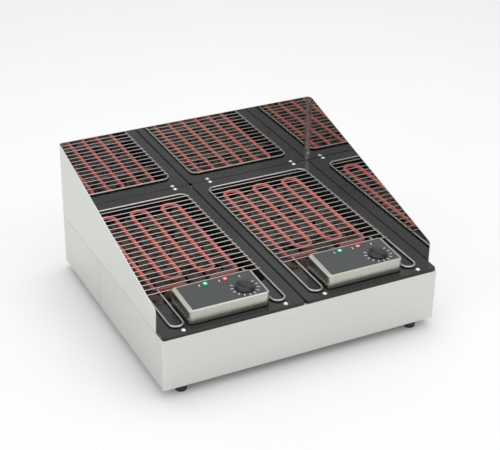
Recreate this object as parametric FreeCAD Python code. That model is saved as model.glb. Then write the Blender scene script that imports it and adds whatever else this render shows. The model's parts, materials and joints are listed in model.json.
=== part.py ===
"""Countertop electric lava-stone grill with two cooking bays side by side.

A low sheet-metal case on four rubber feet carries two enamelled pans inside a three-sided splash
guard. Each pan holds lava stones with a serpentine tubular element above them. The element's ends go
into a wedge-shaped control box at the front, and a removable wire grid lies over the whole bay.

Frame: millimetres, X to the right, Y to the back, Z up. The origin is on the surface that the feet
stand on, below the middle of the case.
"""

import FreeCAD
import Part
import math
import os
import random

V = FreeCAD.Vector
UP = V(0, 0, 1)
BACK = V(0, 1, 0)
SIDES = (-1, 1)

# ---------------------------------------------------------------- driving dimensions
WIDTH = 660.0
DEPTH = 600.0
FOOT_HEIGHT = 22.0
CASE_TOP = 144.0
PAN_TOP = 151.0
GUARD_TOP = 327.0
GUARD_FRONT_TOP = 198.0   # upper end of each side panel's front edge
GUARD_SETBACK = 35.0      # from the case front to the side panels' front edge
CASE_SEAM_Y = 60.0        # where the front and the rear wrap of the case meet
SHEET = 1.2
FRONT_RADIUS = 6.0        # upright corners of the case, outside
REAR_RADIUS = 10.0

BAYS = {"left": -164.8, "right": 164.8}    # middle of each pan
WELLS = {"left": -166.2, "right": 159.5}   # middle of each basin, grid and element
BOXES = {"left": -168.2, "right": 157.5}   # middle of each control box
PAN_HALF_WIDTH = 163.7
OPENING_HALF_WIDTH = 130.0
OPENING_FRONT = -185.0
OPENING_REAR = 250.0
BASIN_FLOOR = 97.0
PAN_SCREW_XS = (-113.5, 121.5)   # from the bay's middle
PAN_SCREW_YS = (-287.0, 290.5)

RIM_HALF_WIDTH = 133.0    # grid rim wire, to its centre line
RIM_REAR = 255.0
RIM_FRONT = -275.0
RIM_WIRE = 5.0            # diameter
BAR_WIRE = 2.5
HANDLE_WIDTH = 31.0       # between the two wires of a handle loop
REAR_BAR = 234.8
FIRST_REGULAR_BAR = 214.5
BAR_PITCH = 19.9
REGULAR_BARS = 19

ELEMENT_DIAMETER = 8.0
ELEMENT_Z = PAN_TOP - 9.0
LEG_PITCH = 40.0
LEG_COUNT = 6
ELEMENT_REAR = 239.0
ELEMENT_FRONT = -79.0
ELEMENT_RUN_Y = -110.0    # where the outer legs turn inwards
TAIL_X = 28.0             # the two ends that enter the control box
TAIL_Z = PAN_TOP + 9.0
TAIL_RISE_START = -134.0  # the ends rise between these two places
TAIL_RISE_END = -164.0

BOX_HALF_WIDTH = 93.5
BOX_FRONT = -279.0
BOX_REAR = -182.0
BOX_BOTTOM = PAN_TOP + 2.0
BOX_FRONT_TOP = PAN_TOP + 32.5
BOX_REAR_TOP = PAN_TOP + 37.5
BOX_CORNER = 9.5          # radius of the upright corners
BOX_TOP_EDGE = 2.8
PLATE_BORDER = 5.0        # steel left in front of and behind the black face plate
PLATE_HALF_WIDTH = 85.5
PLATE_SHIFT = 2.5         # from the middle of the face
KNOB_X = 51.5             # from the middle of the face
KNOB_UP_SLOPE = -11.0
KNOB_DIAMETER = 44.0
KNOB_SKIRT = 4.0
KNOB_TOP = 10.0
KNOB_BORE = 8.0
LAMP_XS = {"green": -20.6, "red": 25.4}
LAMP_UP_SLOPE = 32.0
LAMP_DIAMETER = 12.0

FOOT_X = 282.0
FOOT_Y = 278.0
FOOT_DIAMETER = 25.0

# ---------------------------------------------------------------- derived places
CLEAR = 0.05              # between surfaces that touch
IN_X = WIDTH / 2 - SHEET
IN_Y = DEPTH / 2 - SHEET
SKIRT_BOTTOM = CASE_TOP + SHEET + 2 * CLEAR
PAN_FRONT = -DEPTH / 2 + 0.4
PAN_REAR = IN_Y - 0.3
FACE_TILT = math.atan2(BOX_REAR_TOP - BOX_FRONT_TOP, BOX_REAR - BOX_FRONT)
FACE_LENGTH = math.hypot(BOX_REAR - BOX_FRONT, BOX_REAR_TOP - BOX_FRONT_TOP)
FACE_MIDDLE = V(0, (BOX_FRONT + BOX_REAR) / 2, (BOX_FRONT_TOP + BOX_REAR_TOP) / 2)
RIM_Z = PAN_TOP + 0.3 + RIM_WIRE / 2
BAR_Z = RIM_Z + (RIM_WIRE + BAR_WIRE) / 2 - 0.3
BAR_YS = [REAR_BAR] + [FIRST_REGULAR_BAR - i * BAR_PITCH for i in range(REGULAR_BARS)]
BASE_TOP = FOOT_HEIGHT + 2 * SHEET + CLEAR
NIPPLE_Y = -235.0
BLOCK_Y = 240.0


# ---------------------------------------------------------------- shape helpers
def box(x0, x1, y0, y1, z0, z1):
    return Part.makeBox(x1 - x0, y1 - y0, z1 - z0, V(x0, y0, z0))


def rod(start, direction, radius, length):
    return Part.makeCylinder(radius, length, start, direction)


def upright_hole(x, y, radius, z0=-10.0, z1=400.0):
    return rod(V(x, y, z0), UP, radius, z1 - z0)


def rounded_plate(x0, x1, y0, y1, z0, z1, front_radius, rear_radius=None):
    """A prism on a rectangle whose upright corners are rounded."""
    rear_radius = front_radius if rear_radius is None else rear_radius
    plate = box(x0, x1, y0, y1, z0, z1)
    middle = (y0 + y1) / 2
    for radius, at_front in ((front_radius, True), (rear_radius, False)):
        edges = [e for e in plate.Edges if upright(e) and (e.BoundBox.YMax < middle) == at_front]
        plate = plate.makeFillet(radius, edges[:2])
    return plate


def upright(edge):
    b = edge.BoundBox
    return b.XLength < 0.01 and b.YLength < 0.01


def filleted(shape, radius, wanted):
    """The shape with the edges that `wanted` picks rounded."""
    return shape.makeFillet(radius, [e for e in shape.Edges if wanted(e)])


def ring(half_x, half_y, wall, z0, z1, front_radius, rear_radius):
    """Upright walls round a centred rectangle."""
    outer = rounded_plate(-half_x, half_x, -half_y, half_y, z0, z1, front_radius, rear_radius)
    a = half_x - wall
    b = half_y - wall
    inner_front = max(front_radius - wall, 1.0)
    inner_rear = max(rear_radius - wall, 1.0)
    return outer.cut(rounded_plate(-a, a, -b, b, z0 - 1, z1 + 1, inner_front, inner_rear))


def prism(points, direction):
    return Part.Face(Part.makePolygon(points + [points[0]])).extrude(direction)


def rounded_path(points, radii):
    """Straight runs joined by tangent arcs, with one radius for each inner point."""
    edges = []
    start = points[0]
    for before, corner, after, radius in zip(points, points[1:], points[2:], radii):
        u = (corner - before).normalize()
        w = (after - corner).normalize()
        turn = u.getAngle(w)
        reach = radius * math.tan(turn / 2)
        enter = corner - u * reach
        leave = corner + w * reach
        sagitta = radius / math.cos(turn / 2) - radius
        middle = corner + (w - u).normalize() * sagitta
        if (enter - start).Length > 1e-4:
            edges.append(Part.LineSegment(start, enter).toShape())
        edges.append(Part.Arc(enter, middle, leave).toShape())
        start = leave
    edges.append(Part.LineSegment(start, points[-1]).toShape())
    return Part.Wire(edges)


def tube(points, radii, diameter):
    """A round wire along a rounded path, checked against its section times its length."""
    path = rounded_path(points, radii)
    direction = (points[1] - points[0]).normalize()
    section = Part.Wire(Part.makeCircle(diameter / 2, points[0], direction))
    solid = path.makePipeShell([section], True, False).Solids[0]
    if solid.Volume < 0:
        solid.reverse()
    expected = math.pi * diameter ** 2 / 4 * path.Length
    if abs(solid.Volume / expected - 1) > 0.01:
        raise ValueError(f"tube volume is {solid.Volume:.0f}, expected {expected:.0f}")
    return solid


def joined(first, *others):
    return first.multiFuse(list(others)).removeSplitter()


def save(name, *shapes):
    """One STEP file for each node, with every solid in it closed and valid."""
    solids = [solid for shape in shapes for solid in shape.Solids]
    for solid in solids:
        if not solid.isValid() or solid.Volume <= 0:
            raise ValueError(f"{name} has a bad solid")
    whole = solids[0] if len(solids) == 1 else Part.makeCompound(solids)
    whole.exportStep(f"parts/{name}.step")
    b = whole.BoundBox
    print(f"{name:26s}{len(solids):4d} solids  x {b.XMin:7.1f} {b.XMax:7.1f}"
          f"  y {b.YMin:7.1f} {b.YMax:7.1f}  z {b.ZMin:7.1f} {b.ZMax:7.1f}")


# ---------------------------------------------------------------- case
TOP_FLANGE = 24.0
BOTTOM_FLANGE = 9.0
BASE_SCREWS = [(sx * 324.5, y) for sx in SIDES for y in (-210.0, -70.0, 130.0, 250.0)]
PAN_SCREWS = [(bay + x, y) for bay in BAYS.values() for x in PAN_SCREW_XS for y in PAN_SCREW_YS]
FEET = [(sx * FOOT_X, sy * FOOT_Y) for sx in SIDES for sy in SIDES]
GLAND_X = -90.0
GLAND_Y = 262.0
GLAND_BORE_RADIUS = 5.0


def flange(width, z0, z1):
    """An inward return of the case sheet, all round."""
    outer = rounded_plate(-WIDTH / 2, WIDTH / 2, -DEPTH / 2, DEPTH / 2, z0, z1,
                          FRONT_RADIUS, REAR_RADIUS)
    x = WIDTH / 2 - width
    y = DEPTH / 2 - width
    return outer.cut(box(-x, x, -y, y, z0 - 1, z1 + 1))


def case_wraps():
    walls = ring(WIDTH / 2, DEPTH / 2, SHEET, FOOT_HEIGHT, CASE_TOP, FRONT_RADIUS, REAR_RADIUS)
    top = flange(TOP_FLANGE, CASE_TOP - SHEET, CASE_TOP)
    bottom = flange(BOTTOM_FLANGE, FOOT_HEIGHT, FOOT_HEIGHT + SHEET)
    whole = joined(walls, top, bottom)
    for x, y in PAN_SCREWS:
        whole = whole.cut(upright_hole(x, y, 3.6, 120, 160))
    for x, y in BASE_SCREWS:
        whole = whole.cut(upright_hole(x, y, 1.7, 0, 40))
    half_seam = 0.4
    front = whole.common(box(-WIDTH, WIDTH, -DEPTH, CASE_SEAM_Y - half_seam, 0, GUARD_TOP))
    rear = whole.common(box(-WIDTH, WIDTH, CASE_SEAM_Y + half_seam, DEPTH, 0, GUARD_TOP))
    for row in range(4):
        for column in range(-4, 5):
            x = column * 26.0
            z = 62.0 + row * 12.0
            rear = rear.cut(box(x - 9, x + 9, IN_Y - 5, DEPTH, z - 2, z + 2))
    save("case_front_wrap", front)
    save("case_rear_wrap", rear)


def base_plate():
    margin = 0.5
    x = IN_X - margin
    y = IN_Y - margin
    low = FOOT_HEIGHT + SHEET + CLEAR
    plate = rounded_plate(-x, x, -y, y, low, low + SHEET, FRONT_RADIUS - SHEET, REAR_RADIUS - SHEET)
    for px, py in BASE_SCREWS:
        plate = plate.cut(upright_hole(px, py, 1.55, 0, 40))
    for px, py in FEET:
        plate = plate.cut(upright_hole(px, py, 2.6, 0, 40))
    for bay in BAYS.values():
        for row in range(7):
            y = -120.0 + row * 40.0
            plate = plate.cut(box(bay - 60, bay + 60, y - 3, y + 3, 0, 40))
    plate = plate.cut(upright_hole(GLAND_X, GLAND_Y, 8.1, 0, 40))
    save("base_plate", plate)


def feet():
    rubber = []
    screws = []
    nuts = []
    top = FOOT_HEIGHT + SHEET
    for x, y in FEET:
        foot = Part.makeCylinder(FOOT_DIAMETER / 2, top, V(x, y, 0))
        foot = filleted(foot, 1.5, lambda e: e.BoundBox.ZMax < 0.1)
        foot = foot.cut(upright_hole(x, y, 5.5, -1, 8))
        rubber.append(foot.cut(upright_hole(x, y, 2.6)))
        head = rod(V(x, y, 5.0), UP, 4.5, 3.0)
        shank = rod(V(x, y, 7.5), UP, 2.45, 24.0)
        screws.append(joined(head, shank))
        nut = prism([V(x + 4.6 * math.cos(a), y + 4.6 * math.sin(a), BASE_TOP + CLEAR)
                     for a in (math.radians(60 * i) for i in range(6))], UP * 4.0)
        nuts.append(nut.cut(upright_hole(x, y, 2.5)))
    save("rubber_feet", *rubber)
    save("foot_screws", *screws)
    save("foot_nuts", *nuts)


def base_screws():
    screws = []
    for x, y in BASE_SCREWS:
        head = rod(V(x, y, FOOT_HEIGHT - 2.2), UP, 3.0, 2.2)
        screws.append(joined(head, rod(V(x, y, FOOT_HEIGHT - 1), UP, 1.5, 8.0)))
    save("base_screws", *screws)


def centre_rail():
    """Downward channel under the joint between the pans, with a tab under each case flange."""
    half = 22.0
    end = DEPTH / 2 - TOP_FLANGE - CLEAR
    rail = box(-half, half, -end, end, CASE_TOP - 20, CASE_TOP)
    rail = rail.cut(box(-half + SHEET, half - SHEET, -end - 1, end + 1, 0, CASE_TOP - SHEET))
    tab_top = CASE_TOP - SHEET - CLEAR
    tab_half = half - 2
    reach = 12.0
    for sy in SIDES:
        y0, y1 = sorted((sy * (end - reach), sy * (end + reach)))
        rail = rail.fuse(box(-tab_half, tab_half, y0, y1, tab_top - SHEET, tab_top))
        y0, y1 = sorted((sy * (end - reach), sy * end))
        rail = rail.fuse(box(-tab_half, tab_half, y0, y1, tab_top - SHEET, CASE_TOP - 0.5))
    save("centre_rail", rail.removeSplitter())


def splash_guard():
    """One sheet folded round the back and both sides, with a return that the pans clamp down."""
    low = CASE_TOP + CLEAR
    relief = 0.7
    walls = ring(WIDTH / 2, DEPTH / 2, SHEET, low, GUARD_TOP, FRONT_RADIUS, REAR_RADIUS)
    foot = flange(22.0, low, low + SHEET)
    front = -DEPTH / 2 + GUARD_SETBACK
    outline = [V(-WIDTH, front, low - 5), V(-WIDTH, front, GUARD_FRONT_TOP),
               V(-WIDTH, DEPTH / 2 - 16, GUARD_TOP), V(-WIDTH, DEPTH, GUARD_TOP),
               V(-WIDTH, DEPTH, low - 5)]
    keep = prism(outline, V(2 * WIDTH, 0, 0))
    keep = filleted(keep, 8.0, lambda e: e.BoundBox.XLength > 1 and e.BoundBox.YMax < front + 1
                    and e.BoundBox.ZMin > GUARD_FRONT_TOP - 1)
    keep = filleted(keep, 14.0, lambda e: e.BoundBox.XLength > 1 and e.BoundBox.ZMin > GUARD_TOP - 0.1
                    and e.BoundBox.YMax < DEPTH / 2 - 10)
    guard = joined(walls, foot).common(keep)
    guard = guard.cut(ring(WIDTH / 2 + 1, DEPTH / 2 + 1, 1 + relief, low - 1, low + relief,
                           FRONT_RADIUS + 1, REAR_RADIUS + 1))
    for x, y in PAN_SCREWS:
        guard = guard.cut(upright_hole(x, y, 2.6, 120, 160))
    save("splash_guard", guard)


def mains_parts():
    block = box(-32, 32, BLOCK_Y - 11, BLOCK_Y + 11, BASE_TOP + CLEAR, BASE_TOP + 20)
    for i in range(5):
        block = block.cut(upright_hole(-24 + i * 12, BLOCK_Y + 5, 2.6, BASE_TOP + 10))
    save("mains_terminal_block", block)
    low = FOOT_HEIGHT + SHEET
    bore = upright_hole(GLAND_X, GLAND_Y, GLAND_BORE_RADIUS)
    collar = rod(V(GLAND_X, GLAND_Y, low - 5.0), UP, 12.0, 5.0)
    nose = Part.makeCone(8.0, 10.0, 6.0, V(GLAND_X, GLAND_Y, low - 11.0))
    barrel = rod(V(GLAND_X, GLAND_Y, low - 1.0), UP, 8.0, 13.0)
    save("cable_gland", joined(collar, nose, barrel).cut(bore))
    nut = rod(V(GLAND_X, GLAND_Y, BASE_TOP + CLEAR), UP, 11.5, 5.0)
    save("gland_nut", nut.cut(upright_hole(GLAND_X, GLAND_Y, 8.05)))


# ---------------------------------------------------------------- pans
def pan(side, bay):
    """Enamelled deck with a turned-down skirt and a deep-drawn basin."""
    well = WELLS[side]

    def deck(inset, low):
        body = rounded_plate(bay - PAN_HALF_WIDTH + inset, bay + PAN_HALF_WIDTH - inset,
                             PAN_FRONT + inset, PAN_REAR - inset, low, PAN_TOP - inset, 10.0 - inset)
        return filleted(body, 2.2 - inset, lambda e: e.BoundBox.ZMin > PAN_TOP - inset - 0.01)

    def basin(grow, low, high):
        return rounded_plate(well - OPENING_HALF_WIDTH - grow, well + OPENING_HALF_WIDTH + grow,
                             OPENING_FRONT - grow, OPENING_REAR + grow, low, high, 14.0 + grow)

    shell = deck(0.0, SKIRT_BOTTOM).cut(deck(SHEET, SKIRT_BOTTOM - 5))
    tray = basin(SHEET, BASIN_FLOOR - SHEET, PAN_TOP)
    whole = joined(shell, tray).cut(basin(0.0, BASIN_FLOOR, PAN_TOP + 5))
    for x in PAN_SCREW_XS:
        for y in PAN_SCREW_YS:
            whole = whole.cut(upright_hole(bay + x, y, 2.6))
    save(f"{side}_pan", whole.cut(upright_hole(BOXES[side], NIPPLE_Y, 8.3)))


def pan_fixings(side, bay):
    """Dome-head screws through the deck into threaded inserts in the case flange."""
    screws = []
    inserts = []
    head_radius = 5.5
    head_height = 2.8
    ball = (head_radius ** 2 + head_height ** 2) / (2 * head_height)
    for across in PAN_SCREW_XS:
        for y in PAN_SCREW_YS:
            x = bay + across
            head = Part.makeSphere(ball, V(x, y, PAN_TOP + CLEAR + head_height - ball))
            head = head.common(rod(V(x, y, PAN_TOP + CLEAR), UP, head_radius, 10))
            screws.append(joined(head, rod(V(x, y, 131.0), UP, 2.0, PAN_TOP - 130.0)))
            sleeve = rod(V(x, y, 132.0), UP, 3.5, CASE_TOP - 132.0)
            collar = rod(V(x, y, 132.0), UP, 5.0, CASE_TOP - SHEET - CLEAR - 132.0)
            inserts.append(joined(sleeve, collar).cut(upright_hole(x, y, 2.05)))
    save(f"{side}_pan_screws", *screws)
    save(f"{side}_pan_inserts", *inserts)


def heat_shield(side, well):
    """Inverted channel that keeps the basin's heat off the base plate."""
    half = 120.0
    top = 71.0
    shield = box(well - half, well + half, -170, 228, BASE_TOP + CLEAR, top)
    inside = box(well - half + SHEET, well + half - SHEET, -171, 229, 0, top - SHEET)
    save(f"{side}_heat_shield", shield.cut(inside))


# ---------------------------------------------------------------- lava stones
STONE_COLUMNS = 6
STONE_ROWS = 9
STONE_TOP = 134.5
GOLDEN = (1 + math.sqrt(5)) / 2


def icosahedron():
    """Unit corners, and the triples of them that make a face."""
    corners = []
    for a in SIDES:
        for b in (-GOLDEN, GOLDEN):
            corners += [V(0, a, b), V(a, b, 0), V(b, 0, a)]
    faces = []
    for i in range(12):
        for j in range(i + 1, 12):
            for k in range(j + 1, 12):
                pairs = ((i, j), (j, k), (i, k))
                if max((corners[p] - corners[q]).Length for p, q in pairs) < 2.01:
                    faces.append((i, j, k))
    return [c * (1 / c.Length) for c in corners], faces


def stone(centre, half, rng):
    corners, faces = icosahedron()
    spin = FreeCAD.Rotation(UP, rng.uniform(0, 360))
    moved = []
    for corner in corners:
        p = spin.multVec(corner) * rng.uniform(0.84, 1.0)
        moved.append(centre + V(p.x * half.x, p.y * half.y, p.z * half.z))
    triangles = []
    for i, j, k in faces:
        triangles.append(Part.Face(Part.makePolygon([moved[i], moved[j], moved[k], moved[i]])))
    solid = Part.Solid(Part.Shell(triangles))
    if solid.Volume < 0:
        solid.reverse()
    return solid


def lava_stones(side, well):
    rng = random.Random(side)
    edge = 3.0
    cell_x = 2 * (OPENING_HALF_WIDTH - edge) / STONE_COLUMNS
    cell_y = (OPENING_REAR - OPENING_FRONT - 2 * edge) / STONE_ROWS
    floor = BASIN_FLOOR + 0.2
    stones = []
    for row in range(STONE_ROWS):
        for column in range(STONE_COLUMNS):
            height = rng.uniform(0.85, 1.0) * (STONE_TOP - floor)
            x = well - OPENING_HALF_WIDTH + edge + (column + 0.5) * cell_x
            y = OPENING_FRONT + edge + (row + 0.5) * cell_y
            size = rng.uniform(0.92, 0.99)
            half = V(cell_x / 2 * size, cell_y / 2 * size, height / 2)
            stones.append(stone(V(x, y, floor + height / 2), half, rng))
    save(f"{side}_lava_stones", *stones)


# ---------------------------------------------------------------- cooking grid
def cooking_grid(side, well):
    """Rim wire with a handle loop at each front corner, and bars welded across it."""
    outer = RIM_HALF_WIDTH
    inner = RIM_HALF_WIDTH - HANDLE_WIDTH
    inner_end = BAR_YS[-2] + BAR_WIRE
    half = [V(inner, inner_end, RIM_Z), V(inner, RIM_FRONT, RIM_Z),
            V(outer, RIM_FRONT, RIM_Z), V(outer, RIM_REAR, RIM_Z)]
    points = [V(well - p.x, p.y, p.z) for p in half]
    points += [V(well + p.x, p.y, p.z) for p in reversed(half)]
    turn = HANDLE_WIDTH / 2 - 0.2
    save(f"{side}_grid_rim", tube(points, [turn, turn, 18.0, 18.0, turn, turn], RIM_WIRE))
    reach = RIM_HALF_WIDTH + 2.0
    save(f"{side}_grid_bars", *[rod(V(well - reach, y, BAR_Z), V(1, 0, 0), BAR_WIRE / 2, 2 * reach)
                                for y in BAR_YS])


# ---------------------------------------------------------------- heating element
SUPPORT_YS = (-30.0, 150.0)


def heating_element(side, well):
    """Serpentine tube whose outer legs turn inwards and rise into the control box."""
    z = ELEMENT_Z
    outer_x = LEG_PITCH * (LEG_COUNT - 1) / 2
    tail = [V(TAIL_X, BOX_REAR - 14, TAIL_Z), V(TAIL_X, TAIL_RISE_END, TAIL_Z),
            V(TAIL_X, TAIL_RISE_START, z), V(TAIL_X, ELEMENT_RUN_Y, z), V(outer_x, ELEMENT_RUN_Y, z)]
    points = [V(-p.x, p.y, p.z) for p in tail]
    for leg in range(LEG_COUNT):
        x = -outer_x + leg * LEG_PITCH
        ends = [ELEMENT_FRONT, ELEMENT_REAR] if leg % 2 == 0 else [ELEMENT_REAR, ELEMENT_FRONT]
        if leg == 0:
            ends = ends[1:]
        if leg == LEG_COUNT - 1:
            ends = ends[:1]
        points += [V(x, y, z) for y in ends]
    points += list(reversed(tail))
    wide = 14.0
    bend = LEG_PITCH / 2 - 0.1
    radii = [wide] * 4 + [bend] * (2 * (LEG_COUNT - 1)) + [wide] * 4
    points = [V(well + p.x, p.y, p.z) for p in points]
    save(f"{side}_heating_element", tube(points, radii, ELEMENT_DIAMETER))


def element_supports(side, well):
    """Flat bars across the basin that the legs lie on."""
    top = ELEMENT_Z - ELEMENT_DIAMETER / 2 - CLEAR
    reach = OPENING_HALF_WIDTH - 0.2
    save(f"{side}_element_supports",
         *[box(well - reach, well + reach, y - 5, y + 5, top - 2.5, top) for y in SUPPORT_YS])


def element_ferrules(side, well):
    """Threaded ferrules that clamp the element's two ends in the box's rear wall."""
    ferrules = []
    for sx in SIDES:
        x = well + sx * TAIL_X
        collar = rod(V(x, BOX_REAR + CLEAR, TAIL_Z), BACK, 6.8, 5.0)
        neck = rod(V(x, BOX_REAR - 5.0, TAIL_Z), BACK, 5.5, 5.5)
        bore = rod(V(x, BOX_REAR - 30, TAIL_Z), BACK, ELEMENT_DIAMETER / 2 + 0.05, 60)
        ferrules.append(joined(collar, neck).cut(bore))
    save(f"{side}_element_ferrules", *ferrules)


# ---------------------------------------------------------------- control box
def on_face(shape, centre):
    """Carries a shape from the XY plane to the sloping face, where +Z is the face's normal."""
    placed = shape.copy()
    placed.rotate(V(0, 0, 0), V(1, 0, 0), math.degrees(FACE_TILT))
    placed.translate(V(centre, 0, 0) + FACE_MIDDLE)
    return placed


def wedge(centre, inset, bottom):
    """The box's outline in side view, drawn across its width with rounded upright corners."""
    slope = math.tan(FACE_TILT)
    drop = inset / math.cos(FACE_TILT)
    front_top = BOX_FRONT_TOP + slope * inset - drop
    rear_top = BOX_REAR_TOP - slope * inset - drop
    x = centre - BOX_HALF_WIDTH + inset
    outline = [V(x, BOX_FRONT + inset, bottom), V(x, BOX_FRONT + inset, front_top),
               V(x, BOX_REAR - inset, rear_top), V(x, BOX_REAR - inset, bottom)]
    body = prism(outline, V(2 * (BOX_HALF_WIDTH - inset), 0, 0))
    return filleted(body, BOX_CORNER - inset, upright)


def face_window(x, half_x, half_y, z0, z1, radius):
    return rounded_plate(x - half_x, x + half_x, -half_y, half_y, z0, z1, radius)


def control_box(side, centre, well):
    body = wedge(centre, 0.0, BOX_BOTTOM)
    body = filleted(body, BOX_TOP_EDGE, lambda e: e.BoundBox.ZMin > BOX_FRONT_TOP - 0.1)
    shell = body.cut(wedge(centre, SHEET, BOX_BOTTOM - 5))
    half_x = PLATE_HALF_WIDTH
    half_y = FACE_LENGTH / 2 - PLATE_BORDER
    shell = shell.cut(on_face(face_window(PLATE_SHIFT, half_x, half_y, -6, 6, 2.0), centre))
    for sx in SIDES:
        shell = shell.cut(rod(V(well + sx * TAIL_X, BOX_REAR - 5, TAIL_Z), BACK, 5.6, 10))
    save(f"{side}_control_box", shell)

    plate = face_window(PLATE_SHIFT, half_x - 0.2, half_y - 0.2, -1.5, -0.2, 1.8)
    back = face_window(PLATE_SHIFT, half_x + 1.5, half_y + 1.5, -2.6, -SHEET - CLEAR, 2.0)
    plate = joined(plate, back).cut(Part.makeCylinder(5.3, 10, V(KNOB_X, KNOB_UP_SLOPE, -5)))
    for x in LAMP_XS.values():
        plate = plate.cut(Part.makeCylinder(LAMP_DIAMETER / 2 - 0.8, 10, V(x, LAMP_UP_SLOPE, -5)))
    save(f"{side}_face_plate", on_face(plate, centre))

    gap = SHEET + 0.2
    floor = rounded_plate(centre - BOX_HALF_WIDTH + gap, centre + BOX_HALF_WIDTH - gap, BOX_FRONT + gap,
                          BOX_REAR - gap, BOX_BOTTOM, BOX_BOTTOM + SHEET, BOX_CORNER - gap)
    save(f"{side}_control_base", floor.cut(upright_hole(centre, NIPPLE_Y, 8.3)))
    pads = [rod(V(centre + sx * (BOX_HALF_WIDTH - 14), y, PAN_TOP + CLEAR), UP, 5.0,
                BOX_BOTTOM - PAN_TOP - 2 * CLEAR)
            for sx in SIDES for y in (BOX_FRONT + 14, BOX_REAR - 12)]
    save(f"{side}_box_pads", *pads)


def lamps(side, centre):
    for colour, x in LAMP_XS.items():
        lens = Part.makeCylinder(LAMP_DIAMETER / 2, 2.6, V(x, LAMP_UP_SLOPE, -0.15))
        lens = filleted(lens, 2.0, lambda e: e.BoundBox.ZMin > 2.4)
        stem = Part.makeCylinder(LAMP_DIAMETER / 2 - 0.85, 14, V(x, LAMP_UP_SLOPE, -14.0))
        save(f"{side}_{colour}_lamp", on_face(joined(lens, stem), centre))


def energy_regulator(side, centre):
    """Regulator under the face plate, with the shaft that the knob turns on."""
    body = face_window(KNOB_X, 15, 15, -22, -3, 2.0)
    body.translate(V(0, KNOB_UP_SLOPE, 0))
    neck = Part.makeCylinder(5.0, 4.0, V(KNOB_X, KNOB_UP_SLOPE, -4.0))
    shaft = Part.makeCylinder(3.0, KNOB_BORE, V(KNOB_X, KNOB_UP_SLOPE, -1.0))
    save(f"{side}_energy_regulator", on_face(joined(body, neck, shaft), centre))


def knob(side, centre):
    """Skirted knob with a domed grip bar across it."""
    radius = KNOB_DIAMETER / 2
    above_plate = 0.6
    skirt_top = above_plate + KNOB_SKIRT
    skirt = filleted(Part.makeCylinder(radius, KNOB_SKIRT, V(0, 0, above_plate)), 2.0,
                     lambda e: e.BoundBox.ZMin > skirt_top - 0.1)
    hub = Part.makeCone(radius - 2.5, radius - 5.5, KNOB_TOP - KNOB_SKIRT, V(0, 0, KNOB_SKIRT))
    hub = filleted(hub, 2.5, lambda e: e.BoundBox.ZMin > KNOB_TOP - 0.1)
    whole = joined(skirt, hub).cut(Part.makeCylinder(3.05, KNOB_BORE, V(0, 0, 0)))
    whole.translate(V(KNOB_X, KNOB_UP_SLOPE, 0))
    save(f"{side}_knob", on_face(whole, centre))


def box_wiring(side, centre):
    z = BOX_BOTTOM + SHEET + CLEAR
    block = box(centre - 34, centre - 14, BOX_FRONT + 16, BOX_FRONT + 54, z, z + 12)
    for i in range(3):
        block = block.cut(upright_hole(centre - 24, BOX_FRONT + 23 + i * 12, 2.4, z + 5))
    save(f"{side}_box_terminals", block)
    bore = upright_hole(centre, NIPPLE_Y, 6.0)
    stem = rod(V(centre, NIPPLE_Y, 139.5), UP, 8.0, 28.0)
    under = rod(V(centre, NIPPLE_Y, 144.0), UP, 12.0, PAN_TOP - SHEET - CLEAR - 144.0)
    save(f"{side}_wire_nipple", joined(stem, under).cut(bore))


def harness(side, centre):
    """Insulated leads from the nipple under the deck to the mains block."""
    diameter = 6.0
    z = BASE_TOP + CLEAR + diameter / 2
    lane = math.copysign(15.0, centre)
    points = [V(centre, NIPPLE_Y, 139.45), V(centre, NIPPLE_Y, z), V(lane, NIPPLE_Y, z),
              V(lane, BLOCK_Y - 11 - CLEAR, z)]
    save(f"{side}_harness", tube(points, [30.0, 30.0], diameter))


def main():
    os.makedirs("parts", exist_ok=True)
    case_wraps()
    base_plate()
    feet()
    base_screws()
    centre_rail()
    splash_guard()
    mains_parts()
    for side, bay in BAYS.items():
        well = WELLS[side]
        centre = BOXES[side]
        pan(side, bay)
        pan_fixings(side, bay)
        heat_shield(side, well)
        lava_stones(side, well)
        cooking_grid(side, well)
        heating_element(side, well)
        element_supports(side, well)
        element_ferrules(side, well)
        control_box(side, centre, well)
        lamps(side, centre)
        energy_regulator(side, centre)
        knob(side, centre)
        box_wiring(side, centre)
        harness(side, centre)


main()
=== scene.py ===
"""Looks for the countertop lava-stone grill: stones, knobs, dial marks, materials, light and camera."""

import bmesh
import bpy
import json
import math
import random
from mathutils import Matrix, Vector, noise


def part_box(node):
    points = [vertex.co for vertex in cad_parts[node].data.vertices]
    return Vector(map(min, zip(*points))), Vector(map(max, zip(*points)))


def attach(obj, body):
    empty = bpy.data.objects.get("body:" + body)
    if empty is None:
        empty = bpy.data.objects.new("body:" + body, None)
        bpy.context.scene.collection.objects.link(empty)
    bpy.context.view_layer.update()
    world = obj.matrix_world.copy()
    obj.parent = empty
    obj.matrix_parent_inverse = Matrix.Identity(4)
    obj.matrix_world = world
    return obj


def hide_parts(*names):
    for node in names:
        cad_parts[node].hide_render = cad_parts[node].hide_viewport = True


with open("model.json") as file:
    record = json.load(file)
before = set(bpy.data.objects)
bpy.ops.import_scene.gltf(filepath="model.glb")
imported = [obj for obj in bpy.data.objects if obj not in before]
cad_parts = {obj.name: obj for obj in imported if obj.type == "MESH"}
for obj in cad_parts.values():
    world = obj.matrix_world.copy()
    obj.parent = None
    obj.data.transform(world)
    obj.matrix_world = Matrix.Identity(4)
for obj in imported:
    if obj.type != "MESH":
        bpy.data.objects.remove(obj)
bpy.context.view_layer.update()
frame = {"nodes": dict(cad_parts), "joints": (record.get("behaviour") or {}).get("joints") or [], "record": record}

MM = 0.001
SIDES = ("left", "right")

# Camera: degrees and metres, looking at TARGET from DISTANCE away
AZIMUTH = -27.04
ELEVATION = 28.91
ROLL = 0.95
DISTANCE = 3.332
TARGET = Vector((0.1478, 0.2582, 0.022))
LENS = 94.73
CLIP_END = 50.0

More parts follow.
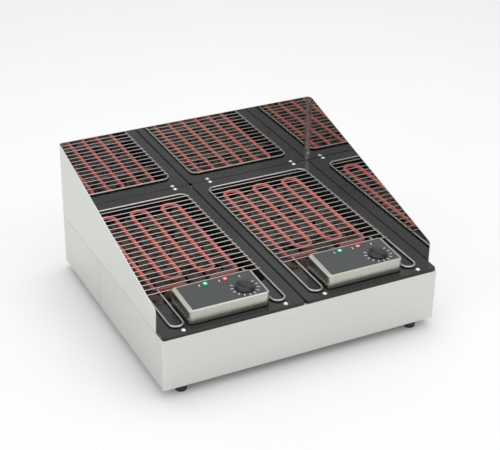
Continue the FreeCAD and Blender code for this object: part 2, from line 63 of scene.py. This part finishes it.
# Soft lights: place, point aimed at, then width and height, all in metres, then watts
SOFTBOXES = {
    "overhead_softbox": ((0.3, 0.4, 2.6), (0.0, 0.0, 0.1), (2.2, 1.6), 16.0),
    "front_softbox": ((0.9, -2.0, 2.8), (0.1, 0.0, 0.1), (1.8, 1.2), 8.0),
    "left_softbox": ((-2.6, -0.9, 1.2), (-0.1, 0.0, 0.1), (1.8, 1.2), 7.5),
}
SKY_STRENGTH = 0.83
FLOOR_REACH = 9.0

# Stones, in metres
STONE_COLUMNS = 6
STONE_ROWS = 9
STONE_TOP = 0.1352
STONE_DROP = 0.007                  # the most that a large stone ends below STONE_TOP
STONE_HALF = (0.50, 0.56)           # half width, as a fraction of its cell
STONE_JITTER = 0.08                 # shift off the middle of its cell, as a fraction of the cell
SMALL_STONES = 46
SMALL_STONE_RADIUS = (0.007, 0.011)
SMALL_STONE_SINK = 0.002            # how far the top of a small stone is below STONE_TOP
STONE_BODY = 0.86                   # radius of the unit stone before the noise is added
STONE_NOISE = ((1.1, 0.30), (2.8, 0.16), (7.0, 0.07))    # frequency and depth of each size

# Knob: radius as a fraction of the knob's radius, height as a fraction of its height
KNOB_HEIGHT = 10.0                  # millimetres
KNOB_SEGMENTS = 120
KNOB_FLUTES = 30
FLUTE_DEPTH = 0.014
FLUTED_FROM = 0.96                  # rings wider than this are fluted
SKIRT = [(0.60, 0.07), (0.975, 0.07), (1.00, 0.12), (1.00, 0.26), (0.97, 0.33), (0.90, 0.38),
         (0.84, 0.42), (0.80, 0.52), (0.75, 0.58), (0.60, 0.62), (0.30, 0.64), (0.05, 0.65)]
# Grip: half length, half width and height, as the same fractions
GRIP = [(0.95, 0.42, 0.34), (0.94, 0.41, 0.52), (0.91, 0.37, 0.76), (0.85, 0.31, 0.89),
        (0.74, 0.23, 0.96), (0.50, 0.13, 0.99), (0.18, 0.04, 1.0)]
GRIP_TURN = math.radians(25)
GRIP_END_POWER = 0.7                # under 1 makes the oval's ends blunter
GRIP_SIDE_POWER = 0.85              # and its sides flatter

# Lit spot on a lamp, in millimetres
LENS_TOP = 2.45                     # flat top of the lens, above the face's frame
SPOT_SEGMENTS = 48
SPOT_DOME = [(3.7, -0.3), (3.6, 0.1), (2.9, 0.32), (1.8, 0.46), (0.6, 0.5)]   # radius, height over lens

# Printed marks, in millimetres from the knob's axis
TICK_COUNT = 11
TICK_START = 145.0                  # degrees, anticlockwise from the right
TICK_SWEEP = 245.0
TICK_INNER = 24.3
TICK_OUTER = 31.3
TICK_INNER_HALF = 0.45
TICK_OUTER_HALF = 1.15
BAR_HALF_WIDTH = 0.9
BAR_HALF_HEIGHT = 3.6
STROKE_AT = (7.5, 42.0)
LAMP_BAR_OFFSET = 13.5              # from a lamp to the bar at its left
PRINT_LEVELS = (-0.22, -0.06)       # underside and top of the print

CASE_STEEL = (0.70, 0.71, 0.68)
CASE_ROUGHNESS = 0.42


# ---------------------------------------------------------------- material helpers
class Paint:
    """A Principled material with short names for the nodes that it uses."""

    def __init__(self, name, metallic=0.0):
        self.material = bpy.data.materials.new(name)
        self.material.use_nodes = True
        self.tree = self.material.node_tree
        self.shader = self.tree.nodes["Principled BSDF"]
        self.shader.inputs["Metallic"].default_value = metallic
        self.coords = self.tree.nodes.new("ShaderNodeTexCoord")

    def link(self, source, target):
        self.tree.links.new(source, target)

    def stretched(self, scale):
        mapping = self.tree.nodes.new("ShaderNodeMapping")
        mapping.inputs["Scale"].default_value = scale
        self.link(self.coords.outputs["Object"], mapping.inputs["Vector"])
        return mapping.outputs["Vector"]

    def noise(self, scale, detail=3.0, stretch=(1.0, 1.0, 1.0)):
        node = self.tree.nodes.new("ShaderNodeTexNoise")
        node.inputs["Scale"].default_value = scale
        node.inputs["Detail"].default_value = detail
        self.link(self.stretched(stretch), node.inputs["Vector"])
        return node.outputs["Fac"]

    def pores(self, scale):
        node = self.tree.nodes.new("ShaderNodeTexVoronoi")
        node.inputs["Scale"].default_value = scale
        self.link(self.coords.outputs["Object"], node.inputs["Vector"])
        return node.outputs["Distance"]

    def remap(self, value, low_in, high_in, low_out, high_out):
        node = self.tree.nodes.new("ShaderNodeMapRange")
        node.inputs["From Min"].default_value = low_in
        node.inputs["From Max"].default_value = high_in
        node.inputs["To Min"].default_value = low_out
        node.inputs["To Max"].default_value = high_out
        self.link(value, node.inputs["Value"])
        return node.outputs["Result"]

    def multiply(self, first, second):
        node = self.tree.nodes.new("ShaderNodeMath")
        node.operation = "MULTIPLY"
        self.link(first, node.inputs[0])
        self.link(second, node.inputs[1])
        return node.outputs["Value"]

    def colour_between(self, factor, first, second):
        node = self.tree.nodes.new("ShaderNodeMix")
        node.data_type = "RGBA"
        node.inputs["A"].default_value = (*first, 1.0)
        node.inputs["B"].default_value = (*second, 1.0)
        self.link(factor, node.inputs["Factor"])
        self.link(node.outputs["Result"], self.shader.inputs["Base Color"])

    def roughness_between(self, value, low, high):
        """Follows a noise value, whose useful range is 0.3 to 0.7."""
        self.link(self.remap(value, 0.3, 0.7, low, high), self.shader.inputs["Roughness"])

    def flat_roughness(self, roughness):
        self.shader.inputs["Roughness"].default_value = roughness

    def bump(self, height, strength, distance):
        node = self.tree.nodes.new("ShaderNodeBump")
        node.inputs["Strength"].default_value = strength
        node.inputs["Distance"].default_value = distance
        self.link(height, node.inputs["Height"])
        self.link(node.outputs["Normal"], self.shader.inputs["Normal"])

    def glow(self, colour, strength):
        self.shader.inputs["Emission Color"].default_value = (*colour, 1.0)
        self.link(strength, self.shader.inputs["Emission Strength"])


def sheet_steel(name, colour, roughness, grain_stretch, grain_depth):
    """Satin stainless sheet with a fine rolled grain and faint hand smudges."""
    paint = Paint(name, metallic=1.0)
    grain = paint.noise(6.0, 4.0, grain_stretch)
    smudge = paint.noise(7.0)
    darker = tuple(c * 0.93 for c in colour)
    paint.colour_between(grain, darker, colour)
    paint.roughness_between(smudge, roughness - 0.04, roughness + 0.05)
    paint.bump(grain, grain_depth, 0.0004)
    return paint.material


def satin_case():
    return sheet_steel("satin_case", CASE_STEEL, CASE_ROUGHNESS, (1.0, 1.0, 160.0), 0.06)


def satin_box():
    return sheet_steel("satin_box", (0.54, 0.54, 0.48), 0.27, (1.0, 110.0, 110.0), 0.015)


def guard_steel():
    """Polished on the faces that look in over the grids, satin on the faces that look out.

    A normal that points back towards the middle of the grill gives a negative product with the
    position, and one that points away gives a positive product.
    """
    paint = Paint("guard_steel", metallic=1.0)
    outward = paint.tree.nodes.new("ShaderNodeVectorMath")
    outward.operation = "DOT_PRODUCT"
    paint.link(paint.coords.outputs["Normal"], outward.inputs[0])
    paint.link(paint.coords.outputs["Object"], outward.inputs[1])
    satin = paint.remap(outward.outputs["Value"], -0.06, -0.04, 0.0, 1.0)
    polish = paint.remap(paint.noise(5.0), 0.35, 0.75, 0.01, 0.03)
    blend = paint.tree.nodes.new("ShaderNodeMix")
    blend.data_type = "FLOAT"
    paint.link(satin, blend.inputs["Factor"])
    paint.link(polish, blend.inputs["A"])
    blend.inputs["B"].default_value = CASE_ROUGHNESS
    paint.link(blend.outputs["Result"], paint.shader.inputs["Roughness"])
    paint.colour_between(satin, (0.74, 0.745, 0.73), CASE_STEEL)
    return paint.material


def enamel():
    """Black vitreous enamel: glossy, with a slight orange-peel skin."""
    paint = Paint("black_enamel")
    paint.shader.inputs["Specular IOR Level"].default_value = 0.38
    cloud = paint.noise(11.0, 4.0)
    peel = paint.noise(420.0, 2.0)
    paint.colour_between(cloud, (0.010, 0.011, 0.012), (0.019, 0.020, 0.021))
    paint.roughness_between(cloud, 0.15, 0.22)
    paint.bump(peel, 0.05, 0.0003)
    return paint.material


def chromed_wire():
    """Chromed wire, dulled and darkened in patches by heat."""
    paint = Paint("chromed_wire", metallic=1.0)
    heat = paint.noise(14.0, 4.0)
    paint.colour_between(heat, (0.38, 0.36, 0.345), (0.56, 0.55, 0.54))
    paint.roughness_between(heat, 0.22, 0.34)
    paint.bump(paint.noise(900.0, 2.0), 0.05, 0.0002)
    return paint.material


def hot_tube():
    """Sheathed tube: glows over the stones and stays dark where it enters the control box."""
    paint = Paint("hot_tube")
    paint.flat_roughness(0.6)
    split = paint.tree.nodes.new("ShaderNodeSeparateXYZ")
    paint.link(paint.coords.outputs["Object"], split.inputs["Vector"])
    warm = paint.remap(split.outputs["Y"], -0.15, -0.03, 0.0, 1.0)
    mottle = paint.remap(paint.noise(26.0), 0.3, 0.7, 0.75, 1.0)
    heat = paint.multiply(warm, mottle)
    paint.colour_between(heat, (0.12, 0.05, 0.045), (0.27, 0.10, 0.09))
    paint.glow((1.0, 0.17, 0.15), paint.remap(heat, 0.0, 1.0, 0.03, 0.36))
    paint.bump(paint.noise(600.0), 0.25, 0.0004)
    return paint.material


def lava_rock():
    """Dull brown-black rock with fine pores and paler patches."""
    paint = Paint("lava_rock")
    paint.flat_roughness(0.92)
    patch = paint.noise(60.0, 5.0)
    pore = paint.pores(420.0)
    paint.colour_between(patch, (0.022, 0.017, 0.015), (0.17, 0.125, 0.105))
    paint.bump(paint.multiply(pore, patch), 0.9, 0.002)
    return paint.material


def charcoal_face():
    """Dark grey printed plate with a fine matt tooth."""
    paint = Paint("charcoal_face")
    paint.shader.inputs["Specular IOR Level"].default_value = 0.35
    speck = paint.noise(500.0)
    paint.colour_between(speck, (0.050, 0.055, 0.056), (0.063, 0.069, 0.070))
    paint.roughness_between(paint.noise(20.0), 0.36, 0.48)
    paint.bump(speck, 0.1, 0.0002)
    return paint.material


def moulded(name, dark, light, roughness):
    """Moulded plastic or rubber: an even colour with fine grain and a little handling gloss."""
    paint = Paint(name)
    paint.colour_between(paint.noise(30.0), dark, light)
    paint.roughness_between(paint.noise(18.0), roughness - 0.05, roughness + 0.08)
    paint.bump(paint.noise(350.0), 0.15, 0.0003)
    return paint.material


def plated(name, dark, light, roughness):
    """Plated or turned metal, a little uneven."""
    paint = Paint(name, metallic=1.0)
    paint.colour_between(paint.noise(45.0, 4.0), dark, light)
    paint.roughness_between(paint.noise(80.0), roughness - 0.05, roughness + 0.08)
    paint.bump(paint.noise(500.0, 2.0), 0.05, 0.0002)
    return paint.material


def lit_lens(name, body, light, strength):
    """A prismatic lens over a small lamp, brighter where it is seen square on."""
    paint = Paint(name)
    paint.shader.inputs["Base Color"].default_value = (*body, 1.0)
    paint.flat_roughness(0.15)
    facing = paint.tree.nodes.new("ShaderNodeLayerWeight")
    facing.inputs["Blend"].default_value = 0.35
    prism = paint.remap(paint.pores(700.0), 0.0, 0.6, 0.7, 1.0)
    rim = paint.remap(facing.outputs["Facing"], 0.0, 1.0, strength, strength * 0.35)
    paint.glow(light, paint.multiply(prism, rim))
    return paint.material


def printed_white():
    """Screen-printed ink."""
    paint = Paint("printed_white")
    paint.flat_roughness(0.5)
    paint.colour_between(paint.noise(900.0, 2.0), (0.72, 0.73, 0.72), (0.88, 0.88, 0.87))
    return paint.material


def slot_materials():
    """One material for each material slot in the record."""
    return {
        "satin_steel": satin_case(),
        "box_steel": satin_box(),
        "mirror_steel": guard_steel(),
        "zinc_steel": plated("zinc_steel", (0.42, 0.44, 0.46), (0.56, 0.58, 0.60), 0.38),
        "zinc_screws": plated("zinc_screws", (0.45, 0.46, 0.47), (0.62, 0.63, 0.64), 0.32),
        "bright_screws": plated("bright_screws", (0.72, 0.72, 0.70), (0.88, 0.88, 0.86), 0.2),
        "black_enamel": enamel(),
        "lava_rock": lava_rock(),
        "chromed_wire": chromed_wire(),
        "glowing_tube": hot_tube(),
        "element_steel": plated("element_steel", (0.10, 0.08, 0.07), (0.22, 0.17, 0.15), 0.5),
        "brass": plated("brass", (0.50, 0.38, 0.18), (0.70, 0.56, 0.30), 0.3),
        "charcoal_face": charcoal_face(),
        "knob_plastic": moulded("knob_plastic", (0.005, 0.005, 0.006), (0.010, 0.010, 0.011), 0.30),
        "black_plastic": moulded("black_plastic", (0.02, 0.02, 0.02), (0.032, 0.032, 0.032), 0.45),
        "regulator_body": moulded("regulator_body", (0.42, 0.36, 0.26), (0.5, 0.44, 0.33), 0.5),
        "green_lens": lit_lens("green_lens", (0.02, 0.16, 0.09), (0.05, 0.85, 0.42), 0.22),
        "red_lens": lit_lens("red_lens", (0.30, 0.02, 0.02), (1.0, 0.06, 0.06), 0.30),
        "black_rubber": moulded("black_rubber", (0.014, 0.014, 0.014), (0.026, 0.026, 0.026), 0.7),
        "white_ceramic": moulded("white_ceramic", (0.72, 0.71, 0.67), (0.8, 0.79, 0.75), 0.25),
        "wire_jacket": moulded("wire_jacket", (0.05, 0.05, 0.05), (0.08, 0.08, 0.08), 0.55),
    }


def dress_nodes(materials):
    """Gives every CAD node the material of its slot."""
    for part in frame["record"]["subparts"]:
        mesh = frame["nodes"][part["node"]].data
        mesh.materials.clear()
        mesh.materials.append(materials[part["material_slot"]])


# ---------------------------------------------------------------- pieces
def add_object(name, mesh_builder, material, smooth=True):
    """Makes a mesh object from a bmesh that mesh_builder fills in, in metres."""
    bm = bmesh.new()
    mesh_builder(bm)
    bmesh.ops.recalc_face_normals(bm, faces=bm.faces)
    mesh = bpy.data.meshes.new(name)
    bm.to_mesh(mesh)
    bm.free()
    for polygon in mesh.polygons:
        polygon.use_smooth = smooth
    mesh.materials.append(material)
    obj = bpy.data.objects.new(name, mesh)
    bpy.context.scene.collection.objects.link(obj)
    return obj


def add_stone(bm, centre, half, rng, subdivisions):
    """A pitted lump: a sphere pushed in and out by several sizes of noise."""
    made = bmesh.ops.create_icosphere(bm, subdivisions=subdivisions, radius=1.0)
    spin = Matrix.Rotation(rng.uniform(0, math.tau), 3, (rng.random(), rng.random(), rng.random() + 0.1))
    seed = Vector((rng.uniform(0, 90), rng.uniform(0, 90), rng.uniform(0, 90)))
    for vertex in made["verts"]:
        p = spin @ vertex.co
        radius = STONE_BODY
        for frequency, depth in STONE_NOISE:
            radius += noise.noise(p * frequency + seed) * depth
        vertex.co = centre + Vector((p.x * half.x, p.y * half.y, p.z * half.z)) * min(1.0, radius)


def add_large_stones(bm, low, high, cell, rng):
    """One stone to a cell, resting on the basin floor and kept inside the box of the CAD stones."""
    for row in range(STONE_ROWS):
        for column in range(STONE_COLUMNS):
            height = STONE_TOP - low.z - rng.uniform(0.0, STONE_DROP)
            half_x = cell.x * rng.uniform(*STONE_HALF)
            half_y = cell.y * rng.uniform(*STONE_HALF)
            x = low.x + (column + 0.5 + rng.uniform(-STONE_JITTER, STONE_JITTER)) * cell.x
            y = low.y + (row + 0.5 + rng.uniform(-STONE_JITTER, STONE_JITTER)) * cell.y
            x = min(max(x, low.x + half_x), high.x - half_x)
            y = min(max(y, low.y + half_y), high.y - half_y)
            centre = Vector((x, y, low.z + height / 2))
            add_stone(bm, centre, Vector((half_x, half_y, height / 2)), rng, 4)


def add_small_stones(bm, low, cell, rng):
    """Small stones over the corners where four cells meet."""
    for _ in range(SMALL_STONES):
        radius = rng.uniform(*SMALL_STONE_RADIUS)
        x = low.x + rng.randrange(1, STONE_COLUMNS) * cell.x
        y = low.y + rng.randrange(1, STONE_ROWS) * cell.y
        centre = Vector((x, y, STONE_TOP - SMALL_STONE_SINK - radius))
        add_stone(bm, centre, Vector((radius, radius, radius)), rng, 3)


def stone_bed(side, material):
    """Large stones side by side over the basin floor, with small ones in the gaps on top."""
    low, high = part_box(f"{side}_lava_stones")
    low, high = Vector(low), Vector(high)
    rng = random.Random(f"{side} stones")
    cell = Vector(((high.x - low.x) / STONE_COLUMNS, (high.y - low.y) / STONE_ROWS, 0))

    def build(bm):
        add_large_stones(bm, low, high, cell, rng)
        add_small_stones(bm, low, cell, rng)

    bed = add_object(f"{side}_stone_bed", build, material)
    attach(bed, "root")
    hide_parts(f"{side}_lava_stones")


def face_frame(side):
    """Matrix from millimetres on the control face, centred on the knob's axis, to the row frame."""
    joint = next(j for j in frame["joints"] if j["name"] == f"{side}_knob_turn")
    normal = Vector(joint["axis"]).normalized()
    across = Vector((1.0, 0.0, 0.0))
    up_slope = normal.cross(across)
    turn = Matrix((across, up_slope, normal)).transposed().to_4x4()
    return Matrix.Translation(Vector(joint["pos_m"])) @ turn @ Matrix.Scale(MM, 4)


def add_rings(bm, rings):
    """Skins a stack of closed rings, each with the same number of points, and caps both ends."""
    rows = [[bm.verts.new(p) for p in ring] for ring in rings]
    count = len(rows[0])
    for low, high in zip(rows, rows[1:]):
        for i in range(count):
            j = (i + 1) % count
            bm.faces.new((low[i], low[j], high[j], high[i]))
    bm.faces.new(list(reversed(rows[0])))
    bm.faces.new(rows[-1])


def skirt_ring(place, size, radius, height):
    """One ring of the skirt, fluted if it is one of the widest."""
    points = []
    for i in range(KNOB_SEGMENTS):
        angle = math.tau * i / KNOB_SEGMENTS
        groove = FLUTE_DEPTH * (1 + math.cos(KNOB_FLUTES * angle)) if radius > FLUTED_FROM else 0.0
        reach = (radius - groove) * size
        flat = Vector((reach * math.cos(angle), reach * math.sin(angle), height * KNOB_HEIGHT))
        points.append(place @ flat)
    return points


def grip_ring(place, size, length, width, height):
    """One blunt oval of the grip, turned to where the knob points at rest."""
    points = []
    for i in range(KNOB_SEGMENTS):
        angle = math.tau * i / KNOB_SEGMENTS
        along = math.copysign(abs(math.cos(angle)) ** GRIP_END_POWER, math.cos(angle))
        across = math.copysign(abs(math.sin(angle)) ** GRIP_SIDE_POWER, math.sin(angle))
        flat = Vector((width * size * across, length * size * along, height * KNOB_HEIGHT))
        points.append(place @ (Matrix.Rotation(GRIP_TURN, 3, "Z") @ flat))
    return points


def knob_piece(side, material):
    """Fluted skirt with a long domed grip across it."""
    low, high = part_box(f"{side}_knob")
    size = (high[0] - low[0]) / 2 / MM
    place = face_frame(side)

    def build(bm):
        add_rings(bm, [skirt_ring(place, size, radius, height) for radius, height in SKIRT])
        add_rings(bm, [grip_ring(place, size, length, width, height) for length, width, height in GRIP])

    knob = add_object(f"{side}_dial_knob", build, material)
    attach(knob, f"{side}_knob")
    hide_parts(f"{side}_knob")


def lamp_middle(side, colour, place):
    """Middle of a lamp's box, in millimetres on the control face."""
    low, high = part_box(f"{side}_{colour}_lamp")
    return place.inverted() @ ((Vector(low) + Vector(high)) / 2)


def lamp_glow(side, colour, material):
    """The bright spot in the middle of a lit lens, as a low dome on its flat top."""
    place = face_frame(side)
    middle = lamp_middle(side, colour, place)

    def ring_of(radius, height):
        points = []
        for i in range(SPOT_SEGMENTS):
            angle = math.tau * i / SPOT_SEGMENTS
            points.append(place @ Vector((middle.x + radius * math.cos(angle),
                                          middle.y + radius * math.sin(angle), LENS_TOP + height)))
        return points

    def build(bm):
        add_rings(bm, [ring_of(radius, height) for radius, height in SPOT_DOME])

    glow = add_object(f"{side}_{colour}_glow", build, material)
    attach(glow, "root")


def dial_marks(side, material):
    """Printed wedge ticks round the knob, a stroke above it, and one small bar beside each lamp."""
    place = face_frame(side)

    def add_mark(bm, corners):
        add_rings(bm, [[place @ Vector((x, y, z)) for x, y in corners] for z in PRINT_LEVELS])

    def add_bar(bm, x, y):
        left, right = x - BAR_HALF_WIDTH, x + BAR_HALF_WIDTH
        bottom, top = y - BAR_HALF_HEIGHT, y + BAR_HALF_HEIGHT
        add_mark(bm, [(left, bottom), (right, bottom), (right, top), (left, top)])

    def add_tick(bm, angle):
        turn = Matrix.Rotation(angle, 2)
        wedge = [(TICK_INNER, -TICK_INNER_HALF), (TICK_OUTER, -TICK_OUTER_HALF),
                 (TICK_OUTER, TICK_OUTER_HALF), (TICK_INNER, TICK_INNER_HALF)]
        add_mark(bm, [turn @ Vector(corner) for corner in wedge])

    def build(bm):
        for i in range(TICK_COUNT):
            add_tick(bm, math.radians(TICK_START + i * TICK_SWEEP / (TICK_COUNT - 1)))
        add_bar(bm, *STROKE_AT)
        for colour in ("green", "red"):
            middle = lamp_middle(side, colour, place)
            add_bar(bm, middle.x - LAMP_BAR_OFFSET, middle.y)

    marks = add_object(f"{side}_dial_marks", build, material, smooth=False)
    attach(marks, "root")


# ---------------------------------------------------------------- stage, light and camera
def add_stage():
    """A wide pale floor under an even white sky."""
    def build(bm):
        corners = [(-1, -1), (1, -1), (1, 1), (-1, 1)]
        bm.faces.new([bm.verts.new((x * FLOOR_REACH, y * FLOOR_REACH, 0.0)) for x, y in corners])

    paint = Paint("pale_floor")
    paint.flat_roughness(0.6)
    paint.colour_between(paint.noise(3.0), (0.91, 0.915, 0.91), (0.94, 0.945, 0.94))
    floor = add_object("floor", build, paint.material, smooth=False)

    world = bpy.data.worlds.new("studio")
    world.use_nodes = True
    background = world.node_tree.nodes["Background"]
    background.inputs["Color"].default_value = (1.0, 1.0, 1.0, 1.0)
    background.inputs["Strength"].default_value = SKY_STRENGTH
    bpy.context.scene.world = world


def add_area_light(name, place, aim, size, watts):
    light = bpy.data.lights.new(name, "AREA")
    light.shape = "RECTANGLE"
    light.size = size[0]
    light.size_y = size[1]
    light.energy = watts
    obj = bpy.data.objects.new(name, light)
    obj.location = place
    obj.rotation_euler = (Vector(aim) - Vector(place)).to_track_quat("-Z", "Y").to_euler()
    bpy.context.scene.collection.objects.link(obj)


def add_camera():
    azimuth, elevation, roll = (math.radians(a) for a in (AZIMUTH, ELEVATION, ROLL))
    back = Vector((math.sin(azimuth) * math.cos(elevation),
                   -math.cos(azimuth) * math.cos(elevation), math.sin(elevation)))
    level = (-back).cross(Vector((0, 0, 1))).normalized()
    upward = level.cross(-back)
    right = level * math.cos(roll) + upward * math.sin(roll)
    up = upward * math.cos(roll) - level * math.sin(roll)
    camera = bpy.data.objects.new("camera", bpy.data.cameras.new("camera"))
    camera.data.lens = LENS
    camera.data.clip_end = CLIP_END
    turn = Matrix((right, up, back)).transposed().to_4x4()
    camera.matrix_world = Matrix.Translation(TARGET + back * DISTANCE) @ turn
    bpy.context.scene.collection.objects.link(camera)
    bpy.context.scene.camera = camera


def main():
    bpy.context.scene.view_settings.view_transform = "Standard"
    add_camera()
    materials = slot_materials()
    dress_nodes(materials)
    white = printed_white()
    spots = {
        "green": lit_lens("green_spot", (0.2, 0.7, 0.5), (0.22, 1.0, 0.62), 1.0),
        "red": lit_lens("red_spot", (0.8, 0.25, 0.25), (1.0, 0.28, 0.28), 1.0),
    }
    for side in SIDES:
        stone_bed(side, materials["lava_rock"])
        knob_piece(side, materials["knob_plastic"])
        for colour, spot in spots.items():
            lamp_glow(side, colour, spot)
        dial_marks(side, white)
    add_stage()
    for name, (place, aim, size, watts) in SOFTBOXES.items():
        add_area_light(name, place, aim, size, watts)


main()
